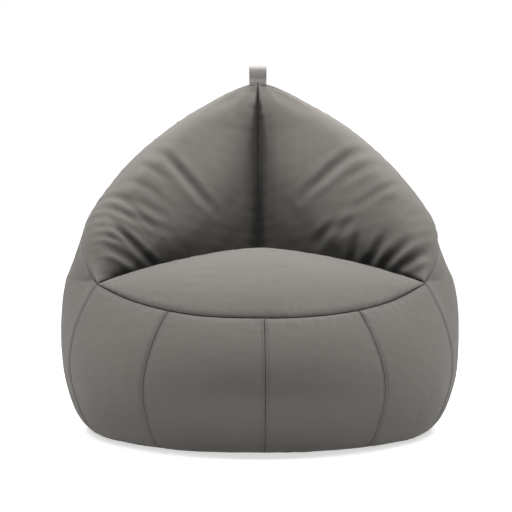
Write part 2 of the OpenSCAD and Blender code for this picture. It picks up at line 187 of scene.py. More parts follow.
def crease_point(x, inset=0.0):
    """The crease between seat and back; x runs from -1 to 1 over its width."""
    tip = side_point(CORNER_ANGLE, CORNER_HEIGHT, 1.0, inset)
    y = CREASE_Y + 2.2 * inset
    z = CREASE_HEIGHT - 0.9 * inset
    return np.stack(
        [tip[0] * x, y + (tip[1] - y) * np.abs(x) ** 2.2, z + (tip[2] - z) * np.abs(x) ** 3], -1
    )


def seat_patch(inset=0.0, cols=SEAT_COLS, rows=SEAT_ROWS):
    x = np.linspace(-1, 1, cols + 1)[None, :]
    t = np.linspace(0, 1, rows + 1)[:, None]
    angle = CORNER_ANGLE * x
    front = side_point(angle, rim_height(angle), 1.0 + 0 * angle, inset)
    rear = crease_point(sind(angle) / sind(CORNER_ANGLE), inset)
    crown = (1 - np.abs(2 * t - 1) ** 2.4) * (1 - np.abs(x) ** 1.6) ** 1.3
    grid = front + (rear - front) * t[..., None]
    grid[..., 2] += (CROWN - inset) * crown
    return grid


def back_patch(inset=0.0, cols=BACK_COLS, rows=HIGH_ROWS):
    """The right back panel: columns from the centre seam to the rim, rows from the crease up."""
    s = sind(CORNER_ANGLE * np.arange(cols + 1) / cols) / sind(CORNER_ANGLE)
    s = s[None, :, None]
    h = high_share(np.arange(rows + 1), rows)[:, None, None]
    z = CORNER_HEIGHT + (PEAK_TOP - CORNER_HEIGHT) * h[..., 0]
    edge = side_point(rim_angle(z), z, 1.0 + 0 * z, inset)
    corner, low = crease_point(1.0, inset), crease_point(0.0, inset)
    high = np.array([0, ring_y(PEAK_TOP) - PEAK_RING, PEAK_TOP - 0.7 * inset])
    sag = np.array([0, VALLEY + inset, 0]) * np.sin(np.pi * h)
    centre = low + (high - low) * h + sag
    crease = crease_point(s[0, :, 0], inset)[None] - (low + (corner - low) * s)
    bulge = 1.15 * s**0.8 * np.clip(1 - s**7, 0, 1) ** 0.55
    bulge = bulge * np.sin(np.pi * np.sqrt(h)) ** 0.8
    grid = centre + (edge - centre) * s + crease * (1 - h) ** 3
    return grid + np.clip(SWELL - 1.4 * inset, 0, None) * bulge * np.array([0, -0.8, 0.6])


def mirrored(grid):
    return grid * np.array([-1, 1, 1])


RIGHT_SIDES = ["gore_front", "gore_front_side", "gore_side", "gore_rear_side", "gore_rear"]


def make_patches(inset=0.0, cols=COLS, low=LOW_ROWS, high=HIGH_ROWS, seat=SEAT_ROWS):
    """Every panel of the cover as name: (grid, whether its columns run anticlockwise)."""
    patches = {}
    for k, name in enumerate(RIGHT_SIDES):
        grid = side_patch(k * PANEL_ANGLE, inset, cols, low, high)
        patches[name + "_right"] = (grid, True)
        patches[name + "_left"] = (mirrored(grid), False)
    back = back_patch(inset, 2 * cols, high)
    patches["back_panel_right"] = (back, True)
    patches["back_panel_left"] = (mirrored(back), False)
    patches["seat_panel"] = (seat_patch(inset, 4 * cols, seat), True)
    return patches


# ---------------------------------------------------------------- meshes from grids
def grid_quads(rows, cols, first=0, anticlockwise=True):
    a = first + (np.arange(rows)[:, None] * (cols + 1) + np.arange(cols)[None, :]).ravel()
    quads = np.stack([a, a + 1, a + cols + 2, a + cols + 1], 1)
    return quads if anticlockwise else quads[:, ::-1]


def placed(name, data):
    """A new object in the scene."""
    obj = bpy.data.objects.new(name, data)
    bpy.context.scene.collection.objects.link(obj)
    return obj


def new_mesh(name, points, faces):
    """A smooth shaded piece from points and faces."""
    mesh = bpy.data.meshes.new(name)
    mesh.from_pydata(points.tolist(), [], faces.tolist() if hasattr(faces, "tolist") else faces)
    mesh.polygons.foreach_set("use_smooth", [True] * len(mesh.polygons))
    mesh.update()
    return placed(name, mesh)


def joined_patches(patches):
    """One mesh of all patches, with the points that they share merged: points, quads and,
    for each patch, where its grid points went."""
    stacked = np.concatenate([g.reshape(-1, 3) for g, _ in patches.values()])
    keys = np.round(stacked * 1e5).astype(np.int64)
    _, keep, where = np.unique(keys, axis=0, return_index=True, return_inverse=True)
    where = where.ravel()
    quads, places, first = [], {}, 0
    for name, (grid, turn) in patches.items():
        rows, cols = grid.shape[0] - 1, grid.shape[1] - 1
        quads.append(where[grid_quads(rows, cols, first, turn)])
        places[name] = where[first : first + grid.shape[0] * grid.shape[1]]
        first += grid.shape[0] * grid.shape[1]
    return stacked[keep], np.concatenate(quads), places


def clean_faces(quads):
    """Drops the repeated corners that a merge leaves."""
    faces = []
    for quad in quads.tolist():
        face = [v for i, v in enumerate(quad) if v != quad[i - 1]]
        if len(set(face)) >= 3:
            faces.append(face)
    return faces


def vertex_normals(points, quads):
    """Outward normals of the merged mesh; faces run anticlockwise seen from outside."""
    a, b, c, d = (points[quads[:, k]] for k in range(4))
    face = np.cross(c - a, d - b)
    normals = np.zeros_like(points)
    for k in range(4):
        np.add.at(normals, quads[:, k], face)
    return normals / np.maximum(np.linalg.norm(normals, axis=1, keepdims=True), 1e-12)


def refine(values, times=FINER):
    """Smooth interpolation along the first axis, times points for each one."""
    ends = [2 * values[:1] - values[1:2], values, 2 * values[-1:] - values[-2:-1]]
    v = np.concatenate(ends)
    p0, p1, p2, p3 = v[:-3], v[1:-2], v[2:-1], v[3:]
    parts = []
    for k in range(times):
        t = k / times
        parts.append(
            p1 + 0.5 * t * (p2 - p0 + t * (2 * p0 - 5 * p1 + 4 * p2 - p3)
                            + t * t * (3 * p1 - p0 - 3 * p2 + p3))
        )
    woven = np.stack(parts, 1).reshape((-1,) + values.shape[1:])
    return np.concatenate([woven, values[-1:]])


def refine_grid(grid):
    return refine(refine(grid).swapaxes(0, 1)).swapaxes(0, 1)


def tube_faces(rings, sides, first=0):
    """The wall and the two end caps of a tube whose rings of points follow each other."""
    faces = []
    for k in range(rings - 1):
        for j in range(sides):
            a, b = first + k * sides + j, first + k * sides + (j + 1) % sides
            faces.append((a, b, b + sides, a + sides))
    last = first + (rings - 1) * sides
    faces.append(tuple(range(first + sides - 1, first - 1, -1)))
    faces.append(tuple(range(last, last + sides)))
    return faces


# ---------------------------------------------------------------- cloth simulation
CLOTH_FRAMES = 20
CLOTH_CAP = 0.007
# shrink_min is for points outside the group "loose"; all are in it, so the cloth keeps its size
CLOTH_SETTINGS = {
    "quality": 6, "mass": 0.4, "tension_stiffness": 30, "compression_stiffness": 30,
    "shear_stiffness": 12, "bending_stiffness": 0.6, "vertex_group_mass": "held",
    "pin_stiffness": 1.0, "vertex_group_shrink": "loose", "shrink_min": -0.03,
    "use_pressure": True, "uniform_pressure_force": 4.0,
}


def border_lines(places):
    """The merged points that lie on the seams of the cover."""
    found = set()
    for name, where in places.items():
        cols = SEAT_COLS if name == "seat_panel" else BACK_COLS if "back" in name else COLS
        grid = where.reshape(-1, cols + 1)
        for line in (grid[0], grid[-1], grid[:, 0], grid[:, -1]):
            found.update(line.tolist())
    return sorted(found)


def simulated_shift():
    """How far the filling pushes each coarse grid point of the cover, by cloth simulation."""
    patches = make_patches()
    points, quads, places = joined_patches(patches)
    faces = clean_faces(quads)
    bag = new_mesh("simulated_bag", points, faces)
    held = bag.vertex_groups.new(name="held")
    held.add(border_lines(places), 1.0, "REPLACE")
    loose = bag.vertex_groups.new(name="loose")
    loose.add(list(range(len(points))), 1.0, "REPLACE")
    cloth = bag.modifiers.new("cloth", "CLOTH")
    for key, value in CLOTH_SETTINGS.items():
        setattr(cloth.settings, key, value)
    cloth.settings.effector_weights.gravity = 0
    cloth.collision_settings.use_collision = False
    cloth.collision_settings.use_self_collision = False
    cloth.point_cache.frame_start = 1
    cloth.point_cache.frame_end = CLOTH_FRAMES
    for number in range(1, CLOTH_FRAMES + 1):
        bpy.context.scene.frame_set(number)
    shown = bag.evaluated_get(bpy.context.evaluated_depsgraph_get())
    moved = np.zeros(len(points) * 3, np.float32)
    shown.data.vertices.foreach_get("co", moved)
    shift = moved.reshape(-1, 3) - points
    far = np.linalg.norm(shift, axis=1, keepdims=True)
    shift *= np.tanh(far / CLOTH_CAP) * CLOTH_CAP / np.maximum(far, 1e-9)
    bpy.data.objects.remove(bag)
    bpy.context.scene.frame_set(1)
    return {n: settled(shift[w].reshape(patches[n][0].shape)) for n, w in places.items()}


def settled(shift):
    """Evens out a simulated shift and fades it to nothing at the seams that hold it."""
    for _ in range(2):
        inner = shift[:-2, 1:-1] + shift[2:, 1:-1] + shift[1:-1, :-2] + shift[1:-1, 2:]
        shift[1:-1, 1:-1] = (2 * shift[1:-1, 1:-1] + inner) / 6
    rows, cols = (np.arange(n) for n in shift.shape[:2])
    fade_rows = np.clip(np.minimum(rows, rows[::-1]) / 2.5, 0, 1)
    fade_cols = np.clip(np.minimum(cols, cols[::-1]) / 2.5, 0, 1)
    return shift * fade_rows[:, None, None] * fade_cols[None, :, None]


# ---------------------------------------------------------------- folds and puckers
# Each fan of folds: where its first and last fold start, then where these two end, as
# shares of the back panel: across (0 at the centre seam, 1 at the rim) and up (0 at the
# crease, 1 at the peak). Then how far up the middle of a fold bows, the number of folds,
# and their depth and half width in millimetres.
LEFT_FANS = [
    (((0.70, 0.55), (0.70, 0.55)), ((0.20, 0.35), (0.20, 0.35)), 0.08, 1, 5.0, 11),
    (((0.75, 0.50), (0.85, 0.35)), ((0.50, 0.45), (0.40, 0.25)), 0.02, 4, 2.4, 8),
    (((0.75, 0.30), (0.80, 0.20)), ((0.50, 0.05), (0.60, 0.05)), 0.05, 3, 5.5, 9),
]
RIGHT_FANS = [
    (((0.70, 0.55), (0.70, 0.55)), ((0.20, 0.40), (0.20, 0.40)), 0.06, 1, 4.5, 11),
    (((0.75, 0.50), (0.85, 0.45)), ((0.45, 0.45), (0.45, 0.35)), 0.02, 2, 3.0, 9),
    (((0.35, 0.30), (0.45, 0.30)), ((0.25, 0.20), (0.35, 0.25)), 0.01, 2, 3.5, 11),
    (((0.45, 0.25), (0.90, 0.20)), ((0.45, 0.05), (0.70, 0.05)), 0.04, 4, 5.2, 11),
]
RECESS = 0.034
ARM_SWELL = 0.009


def fan(starts, ends, lift, count, depth, width):
    """Folds at even steps between two outer ones; each bows upwards in its middle."""
    folds = []
    for share in np.linspace(0, 1, count):
        start = np.array(starts[0]) * (1 - share) + np.array(starts[1]) * share
        end = np.array(ends[0]) * (1 - share) + np.array(ends[1]) * share
        bend = (start + end) / 2 + np.array([0, lift])
        folds.append((start, bend, end, depth * (0.8 + 0.4 * rng.random()), width))
    return folds


def arm_fan(low, high, count, depth):
    """Fine arcs that run from the rim of an arm towards the corner of the crease."""
    folds = []
    for k in range(count):
        up = low + (high - low) * (k + 0.5) / count
        start = (0.97, up)
        bend = (0.86 - 0.02 * k, up + 0.015)
        end = (0.78 - 0.03 * k, max(0.02, up - 0.035 - 0.012 * k))
        folds.append((start, bend, end, depth * (0.7 + 0.6 * rng.random()), 5.5 + k * 0.3))
    return folds


def on_grid(grid, across, up):
    """The point of a grid at the shares across and up."""
    row, col = up * (grid.shape[0] - 1), across * (grid.shape[1] - 1)
    i, j = min(int(row), grid.shape[0] - 2), min(int(col), grid.shape[1] - 2)
    a, b = row - i, col - j
    low = grid[i, j] * (1 - b) + grid[i, j + 1] * b
    high = grid[i + 1, j] * (1 - b) + grid[i + 1, j + 1] * b
    return low * (1 - a) + high * a


def fold_profile(distance, width):
    """A valley with a low ridge on each side; 1 deep in the middle."""
    x = distance / width
    return np.exp(-(x**2)) - 0.45 * np.exp(-((x - 1.9) ** 2) / 0.8)


def fold_depth(points, grid, fold, steps=22):
    """How deep one fold presses each point in."""
    start, bend, end, depth, width = fold
    best = np.full(len(points), 1e9)
    along = np.zeros(len(points))
    line = []
    for t in np.linspace(0, 1, steps):
        across, up = (
            (1 - t) ** 2 * start[k] + 2 * t * (1 - t) * bend[k] + t * t * end[k]
            for k in (0, 1)
        )
        line.append(on_grid(grid, across, up))
    for k in range(steps - 1):
        a, ab = line[k], line[k + 1] - line[k]
        share = np.clip((points - a) @ ab / max(ab @ ab, 1e-12), 0, 1)
        gap = np.linalg.norm(points - a - share[:, None] * ab, axis=1)
        near = gap < best
        best = np.where(near, gap, best)
        along = np.where(near, (k + share) / (steps - 1), along)
    fade = np.sin(np.pi * np.clip(0.04 + 0.92 * along, 0, 1)) ** 0.7
    return depth * 0.001 * fade * fold_profile(best, width * 0.001)


def wobble(u, pitch, seed):
    """A smooth random line along u, from about -1 to 1."""
    draw = np.random.default_rng(seed)
    total = 0
    for k in range(7):
        turn = 2 * math.pi / (pitch * (0.6 + 0.25 * k))
        total = total + np.sin(turn * u + draw.random() * 6.28) * (0.75 + 0.5 * draw.random())
    return total / 3.2


def waves(points, size, seed, count=9):
    """Gentle unevenness in space, from about -1 to 1."""
    draw = np.random.default_rng(seed)
    total = np.zeros(len(points))
    for _ in range(count):
        way = draw.normal(size=3)
        way /= np.linalg.norm(way)
        turn = 2 * math.pi / (size * (0.7 + 0.9 * draw.random()))
        total += np.sin(points @ way * turn + draw.random() * 6.28)
    return total / math.sqrt(count)


# ---------------------------------------------------------------- seams
# depth and half width of the dip of the fabric at a seam, then depth, reach and pitch of
# the puckers beside it, all in millimetres
SEAMS = {
    "gore": (1.5, 4.0, 0.35, 6.0, 16.0),
    "rim": (4.6, 6.5, 0.9, 9.0, 17.0),
    "valley": (6.0, 10.0, 0.8, 9.0, 22.0),
    "crease": (3.0, 12.0, 0.6, 14.0, 40.0),
    "floor": (1.0, 4.0, 0.3, 6.0, 15.0),
    "peak": (0.0, 3.0, 0.0, 6.0, 15.0),
}


def seam_kinds(name):
    """The kind of seam on the first column, last column, first row and last row."""
    if name == "seat_panel":
        return None, None, "rim", "crease"
    if name.startswith("back_panel"):
        return "valley", "rim", "crease", "peak"
    top = "rim" if name.startswith("gore_front") else "peak"
    first = "rim" if name.startswith("gore_side") else "gore"
    return first, "gore", "floor", top


def lengths(grid, axis):
    """Running length along one axis of a grid of points."""
    step = np.linalg.norm(np.diff(grid, axis=axis), axis=-1)
    run = np.cumsum(step, axis=axis)
    shape = list(run.shape)
    shape[axis] = 1
    return np.concatenate([np.zeros(shape), run], axis)


def border_lengths(grid):
    """For each border: distance of every grid point from it, and the run along it."""
    across, up = lengths(grid, 1), lengths(grid, 0)
    return [
        (across, np.broadcast_to(up[:, :1], across.shape)),
        (across[:, -1:] - across, np.broadcast_to(up[:, -1:], across.shape)),
        (up, np.broadcast_to(across[:1], up.shape)),
        (up[-1:] - up, np.broadcast_to(across[-1:], up.shape)),
    ]


def seam_depth(name, grid):
    """How deep the seams press the grid points of a panel in, and the puckers beside them."""
    depth = np.zeros(grid.shape[:2])
    puckers = np.zeros(grid.shape[:2])
    up = np.linspace(0, 1, grid.shape[0])[:, None]
    for k, (kind, (gap, run)) in enumerate(zip(seam_kinds(name), border_lengths(grid))):
        if kind is None:
            continue
        dip, width, pucker, reach, pitch = (v * 0.001 for v in SEAMS[kind])
        if kind == "rim" and k == 0 and name.startswith("gore_side"):
            share = np.clip((np.arange(grid.shape[0])[:, None] / FINER - LOW_ROWS) / 3, 0, 1)
            low = [v * 0.001 for v in SEAMS["gore"]]
            dip = low[0] + (dip - low[0]) * share
            width = low[1] + (width - low[1]) * share
            pucker = low[2] + (pucker - low[2]) * share
        if kind == "valley":
            dip = dip * (1 - 0.9 * np.clip((up - 0.45) / 0.35, 0, 1))
        depth = np.maximum(depth, dip * np.exp(-((gap / width) ** 1.5)))
        ramp = gap / reach * np.exp(1 - gap / reach)
        puckers += pucker * ramp * wobble(run, pitch, len(name) * 31 + k * 7 + ord(name[-1]))
    return depth, puckers


def slumped(grid):
    """The back settles: its middle sinks away from the sitter and the arms swell forward."""
    share = np.linspace(0, 1, grid.shape[1])[None, :]
    up = np.linspace(0, 1, grid.shape[0])[:, None]
    inside = 1 - share**6
    hollow = RECESS * np.exp(-((share / 0.36) ** 2)) * np.sin(np.pi * up**0.5) ** 0.9
    hollow = hollow * np.clip((1 - up) / 0.35, 0, 1) ** 1.3
    swell = ARM_SWELL * np.exp(-(((share - 0.72) / 0.2) ** 2)) * np.sin(np.pi * up**0.7)
    ways = (hollow * inside)[..., None] * np.array([0, 1.0, 0])
    return grid + ways + (swell * inside)[..., None] * np.array([0, -0.8, 0.6])


def shaped_cover():
    """The whole cover: merged points after filling, folds and seams, and its panels."""
    patches = make_patches(0.0, COLS * FINER, LOW_ROWS * FINER, HIGH_ROWS * FINER,
                           SEAT_ROWS * FINER)
    shift = simulated_shift()
    for name, (grid, turn) in patches.items():
        patches[name] = (grid + refine_grid(shift[name]), turn)
    for name in ("back_panel_left", "back_panel_right"):
        patches[name] = (slumped(patches[name][0]), patches[name][1])
    points, quads, places = joined_patches(patches)
    normals = vertex_normals(points, quads)
    depth = np.zeros(len(points))
    puckers = np.zeros(len(points))
    for name, (grid, _) in patches.items():
        dip, pucker = seam_depth(name, grid)
        np.maximum.at(depth, places[name], dip.ravel())
        puckers[places[name]] = pucker.ravel()
    for side, fans in (("left", LEFT_FANS), ("right", RIGHT_FANS)):
        grid = patches["back_panel_" + side][0]
        folds = [fold for values in fans for fold in fan(*values)]
        if side == "left":
            folds = folds + arm_fan(0.03, 0.42, 11, 2.8)
        else:
            folds = folds + arm_fan(0.24, 0.46, 5, 0.8)
        where = np.unique(places["back_panel_" + side])
        for fold in folds:
            depth[where] += fold_depth(points[where], grid, fold)
    depth += puckers
    depth += 0.0012 * waves(points, 0.16, 3) + 0.0003 * waves(points, 0.035, 5)
    shaped = points - normals * depth[:, None]
    shaped[:, 2] = np.maximum(shaped[:, 2], LOW_EDGE * 0.6)
    return patches, shaped, quads, places


# ---------------------------------------------------------------- panels
# the fabric turns in at each seam: distance from the seam and depth there, in metres
TURN_IN = [(0.00012, 0.0030), (0.00035, 0.0014), (0.0009, 0.0004), (0.0018, 0.0)]
TURN_DEPTH = 0.0030
# the fabric dips under a row of stitches: distance from the seam and depth there
STITCH_ROWS = [(0.0040, 0.0), (0.0062, 0.0), (0.0070, 0.00045), (STITCH_OFFSET, 0.0006),
               (0.0080, 0.00045), (0.0088, 0.0)]
STRIP_WIDTH = STITCH_ROWS[-1][0]
# the strips at the two edges of a narrow panel take at most this share of its width each
STRIP_SHARE = 0.3


def strip_depth(gap, turn_in):
    """How deep the fabric lies at the distance gap from a seam."""
    table = [(0.0, TURN_DEPTH)] + turn_in
    return np.interp(gap, [t[0] for t in table], [t[1] for t in table])


def recut(channels, first, last):
    """Moves the columns of a panel so that they follow its two side seams closely."""
    rows, cols, count = channels.shape
    run = lengths(channels[..., :3], 1)
    lines = []
    for i in range(rows):
        width = run[i, -1]
        scale = min(1.0, STRIP_SHARE * width / STRIP_WIDTH)
        begin = [g * scale for g, _ in first]
        end = [width - g * scale for g, _ in last][::-1]
        start = begin[-1] if begin else 0.0
        stop = end[0] if end else width
        middle = np.linspace(start, stop, cols - 2)[1:-1]
        places = np.concatenate([[0.0], begin, middle, end, [width]])
        line = [np.interp(places, run[i], channels[i, :, c]) for c in range(count)]
        lines.append(np.stack(line, -1))
    return np.stack(lines)


def unit(v):
    return v / np.maximum(np.linalg.norm(v, axis=-1, keepdims=True), 1e-12)


def is_stitched(name, kind):
    """Whether a side seam of a panel has a row of topstitching beside it."""
    return kind == "gore" or name.startswith("gore_side")


def panel_grid(name, grid, normals):
    """The final points of one panel, with its edges turned in, and its flat coordinates."""
    middle = grid.shape[1] // 2
    flat_u = lengths(grid, 1)
    flat_u = flat_u - flat_u[:, middle : middle + 1]
    flat_v = np.broadcast_to(lengths(grid, 0)[:, middle : middle + 1], flat_u.shape)
    channels = np.concatenate([grid, normals, flat_u[..., None], flat_v[..., None]], -1)
    kinds = seam_kinds(name)
    sides = [TURN_IN + STITCH_ROWS if is_stitched(name, k) else TURN_IN if k else []
             for k in kinds[:2]]
    ends = [TURN_IN if k else [] for k in kinds[2:]]
    channels = recut(channels, *sides)
    channels = recut(channels.swapaxes(0, 1), *ends).swapaxes(0, 1)
    points, out = channels[..., :3], unit(channels[..., 3:6])
    depth = np.zeros(points.shape[:2])
    for k, (gap, _) in enumerate(border_lengths(points)):
        if kinds[k] is None:
            continue
        table = sides[k] if k < 2 else ends[k - 2]
        width = gap.max(axis=1 if k < 2 else 0, keepdims=True)
        scale = np.minimum(1.0, STRIP_SHARE * width / STRIP_WIDTH)
        depth = np.maximum(depth, strip_depth(gap / np.maximum(scale, 1e-6), table))
    return points - out * depth[..., None], channels[..., 6:8], out


def with_cloth(obj, flat):
    """Stores where each point lies on the flat cloth, for the weave of the material."""
    layer = obj.data.attributes.new("cloth", "FLOAT_VECTOR", "POINT")
    layer.data.foreach_set("vector", flat.astype(np.float32).ravel())
    return obj


def panel_mesh(name, points, flat, anticlockwise):
    rows, cols = points.shape[0] - 1, points.shape[1] - 1
    quads = grid_quads(rows, cols, 0, anticlockwise)
    flat3 = np.concatenate([flat, np.zeros(flat.shape[:2] + (1,))], -1)
    return with_cloth(new_mesh(name, points.reshape(-1, 3), quads), flat3)


def stitch_row(points, normals, reverse):
    """Centres, tangents and normals of the stitches of one topstitched row."""
    across = lengths(points, 1)
    line, outs = [], []
    for i in range(points.shape[0]):
        run = across[i, -1] - across[i][::-1] if reverse else across[i]
        row = points[i][::-1] if reverse else points[i]
        out = normals[i][::-1] if reverse else normals[i]
        if run[-1] < 3.2 * STITCH_OFFSET:
            continue
        line.append([np.interp(STITCH_OFFSET, run, row[:, c]) for c in range(3)])
        outs.append([np.interp(STITCH_OFFSET, run, out[:, c]) for c in range(3)])
    line, outs = np.array(line), np.array(outs)
    run = lengths(line[:, None], 0)[:, 0]
    place = np.arange(0.004, run[-1] - 0.006, STITCH_PITCH)

    def at(s, table):
        return np.stack([np.interp(s, run, table[:, c]) for c in range(3)], -1)

    a, b = at(place, line), at(place + STITCH_LENGTH, line)
    return (a + b) / 2, unit(b - a), unit(at(place + STITCH_LENGTH / 2, outs))


def stitches(name, rows):
    """One mesh of all the stitches of a seam: short rounded threads that dip at both ends."""
    steps = [(-0.5, 0.25, -1.2), (-0.42, 0.8, -0.1), (0.0, 1.0, 0.55),
             (0.42, 0.8, -0.1), (0.5, 0.25, -1.2)]
    sides = 6
    turn = np.arange(sides) * 2 * math.pi / sides
    points, faces = [], []
    for centre, along, out in rows:
        beside = np.cross(out, along)
        for c, t, n, s in zip(centre, along, out, beside):
            first = len(points)
            for shift, thick, lift in steps:
                middle = c + t * shift * STITCH_LENGTH + n * lift * STITCH_RADIUS
                for angle in turn:
                    points.append(middle + STITCH_RADIUS * thick
                                  * (n * math.cos(angle) + s * math.sin(angle)))
            faces += tube_faces(len(steps), sides, first)
    return new_mesh(name, np.array(points), faces)


# ---------------------------------------------------------------- webbing loop
STRAP_WIDTH = 0.040
STRAP_THICK = 0.0019
LOOP_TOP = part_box("handle_loop")[1].z
LOOP_HALF = 0.0078
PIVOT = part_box("handle_loop")[0].z + 0.002


def strap_line():
    """The middle line of the webbing in the YZ plane: up the front, over and down the rear."""
    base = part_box("handle_root")[0].z + 0.0005
    neck = STRAP_THICK * 0.56
    low = [(-neck, base), (-neck, PIVOT - 0.002), (-neck - 0.0004, PIVOT + 0.001)]
    front = [(-neck - (LOOP_HALF - neck) * math.sin(t * math.pi / 2) ** 1.3,
              PIVOT + 0.001 + (LOOP_TOP - 0.0075 - PIVOT) * t) for t in np.linspace(0.1, 1, 12)]
    arc = [(-LOOP_HALF * math.cos(t), LOOP_TOP - 0.0065 + 0.0056 * math.sin(t))
           for t in np.linspace(0.2, math.pi / 2, 8)]
    half = low + front + arc
    line = half + [(-y, z) for y, z in half[-2::-1]]
    run = np.concatenate([[0], np.cumsum(np.hypot(*np.diff(line, axis=0).T))])
    even = np.linspace(0, run[-1], 110)
    return np.stack([np.interp(even, run, [p[k] for p in line]) for k in (0, 1)], 1), even


def strap():
    """The webbing loop: a flat band with thicker selvedges, closed all round."""
    line, run = strap_line()
    tangent = unit(np.gradient(line, axis=0))
    out = np.stack([-tangent[:, 1], tangent[:, 0]], 1)
    x = np.linspace(-1, 1, 41)
    edge = 1 - 0.55 * np.clip((np.abs(x) - 0.93) / 0.07, 0, 1) ** 2
    selvedge = 1 + 0.22 * np.exp(-(((np.abs(x) - 0.87) / 0.05) ** 2))
    ribs = 0.00007 * np.sign(np.sin(x * STRAP_WIDTH / 2 / 0.0011 * math.pi))
    half = STRAP_THICK / 2 * edge * selvedge + ribs * (np.abs(x) < 0.84)
    cross = [(a * STRAP_WIDTH / 2, h) for a, h in zip(x, half)]
    cross += [(a * STRAP_WIDTH / 2, -h) for a, h in zip(x[::-1], half[::-1])]
    bow = 0.0006 * np.cos(np.array([c[0] for c in cross]) / STRAP_WIDTH * math.pi)
    points, flat = [], []
    for (y, z), (ny, nz), s in zip(line, out, run):
        lift = min(1, max(0, (z - PIVOT) / 0.01))
        for (a, h), b in zip(cross, bow):
            points.append((a, HANDLE_Y + y + ny * (h + b * lift), z + nz * (h + b * lift)))
            flat.append((a, s, h))
    obj = new_mesh("handle_strap", np.array(points), tube_faces(len(line), len(cross)))
    return with_cloth(obj, np.array(flat))


def strap_stitches():
    """Two rows of stitches across the root of the loop, front and rear."""
    rows = []
    for side in (-1, 1):
        y = HANDLE_Y + side * STRAP_THICK * 1.08
        for z in (PIVOT - 0.0062, PIVOT - 0.0036):
            x = np.arange(-0.0165, 0.0166, 0.0033)
            centre = np.stack([x, 0 * x + y, 0 * x + z], 1)
            along = np.tile([1.0, 0, 0], (len(x), 1))
            out = np.tile([0.0, side, 0], (len(x), 1))
            rows.append((centre, along, out))
    return stitches("handle_stitches", rows)


# ---------------------------------------------------------------- base and zips
ZIP_Y = (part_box("zip_coil_front")[0].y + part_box("zip_coil_rear")[1].y) / 2
CHANNEL_HALF = 0.0138
CHANNEL_LENGTH = 0.295
CHANNEL_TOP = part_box("zip_tape_front")[0].z - 0.0003
BASE_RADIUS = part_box("base_panel_front")[1].x


def base_half(side):
    """Half of the base: a flat sheet whose inner edge folds up to the zip tape."""
    cols, rows = 120, 40
    name = "base_panel_rear" if side > 0 else "base_panel_front"
    x = np.sin(np.linspace(-1, 1, cols + 1) * math.pi / 2) * BASE_RADIUS * 0.998
    far = np.sqrt(np.maximum(BASE_RADIUS**2 - x**2, 1e-7))
    inside = np.abs(x) < CHANNEL_LENGTH
    near = np.where(inside, CHANNEL_HALF, 0.0003)
    near = np.minimum(near, far * 0.9)
    near = np.convolve(np.pad(near, 2, mode="edge"), np.ones(5) / 5, mode="valid")
    fold = [(0.25, 1.0), (0.06, 0.99), (0.0, 0.9), (-0.02, 0.35), (0.0, 0.06), (0.08, 0.0)]
    lines = []
    for pull, lift in fold:
        height = np.where(inside, CHANNEL_TOP, 0.003) * lift
        lines.append(np.stack([x, near * (1 - pull * inside), height + 0.0006], -1))
    for t in np.linspace(0.03, 1, rows) ** 0.9:
        y = near + (far - near) * t
        edge = np.clip((np.hypot(x, y) / BASE_RADIUS - 0.985) / 0.015, 0, 1)
        lines.append(np.stack([x, y, 0.0006 + 0.0016 * edge**2], -1))
    grid = np.array(lines)
    grid[..., 2] += 0.00025 * (1 + waves(grid.reshape(-1, 3), 0.05, 11).reshape(grid.shape[:2]))
    grid[..., 2] = np.maximum(grid[..., 2], 0.0002)
    flat = grid[..., :2].copy()
    grid[..., 1] = ZIP_Y + side * grid[..., 1]
    obj = panel_mesh(name + "_cloth", grid, flat, side < 0)
    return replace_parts(obj, name)


def coil(name, node):
    """The flattened nylon coil of one side of a zip."""
    low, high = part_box(node)
    pitch, steps, sides = 0.0016, 8, 5
    turns = int((high.x - low.x) / pitch)
    angle = np.arange(turns * steps) * 2 * math.pi / steps
    wire = 0.00032
    ry, rz = (high.y - low.y) / 2 - wire, (high.z - low.z) / 2 - wire
    x = low.x + wire + (high.x - low.x - 2 * wire) * np.arange(len(angle)) / (len(angle) - 1)
    line = np.stack([x, (low.y + high.y) / 2 + ry * np.cos(angle),
                     (low.z + high.z) / 2 + rz * np.sin(angle)], 1)
    along = unit(np.gradient(line, axis=0))
    side = unit(np.cross(along, [1.0, 0, 0]))
    out = np.cross(side, along)
    rings = []
    for k in range(sides):
        turn = k * 2 * math.pi / sides
        rings.append(line + wire * (side * math.cos(turn) + out * math.sin(turn)))
    points = np.stack(rings, 1).reshape(-1, 3)
    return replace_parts(new_mesh(name, points, tube_faces(len(line), sides)), node)


# ---------------------------------------------------------------- inner layers
def inner_layer(name, patches, shaped, places, inset, thin):
    """A closed bag that follows the cover at the distance inset inside it."""
    coarse = {}
    for key, (grid, turn) in patches.items():
        full = shaped[places[key]].reshape(grid.shape)
        coarse[key] = (full[::thin, ::thin], turn)
    points, quads, where = joined_patches(coarse)
    normals = vertex_normals(points, quads)
    faces = clean_faces(quads)
    moved = points - normals * inset
    moved[:, 2] = np.maximum(moved[:, 2], inset + 0.004)
    peak_point = np.array([0.0, HANDLE_Y + 0.04])
    near = np.clip((points[:, 2] - PEAK_HEIGHT + 0.10) / 0.07, 0, 1)
    moved[:, :2] += (peak_point - moved[:, :2]) * 0.45 * near[:, None]
    moved[:, 2] = np.minimum(moved[:, 2], PEAK_HEIGHT - 0.034 - inset)

    def row_points(key, row):
        return where[key].reshape(coarse[key][0].shape[:2])[row].tolist()

    def round_the_sides(names, row):
        right = [v for key in names for v in row_points(key + "_right", row)[:-1]]
        left = [v for key in names[::-1] for v in row_points(key + "_left", row)[:0:-1]]
        return right + left

    faces.append(round_the_sides(RIGHT_SIDES, 0)[::-1])
    peak = round_the_sides(RIGHT_SIDES[2:], -1)
    peak += row_points("back_panel_left", -1)[:0:-1] + row_points("back_panel_right", -1)[:-1]
    faces.append([v for i, v in enumerate(peak) if v != peak[i - 1]])
    return new_mesh(name, moved, faces)


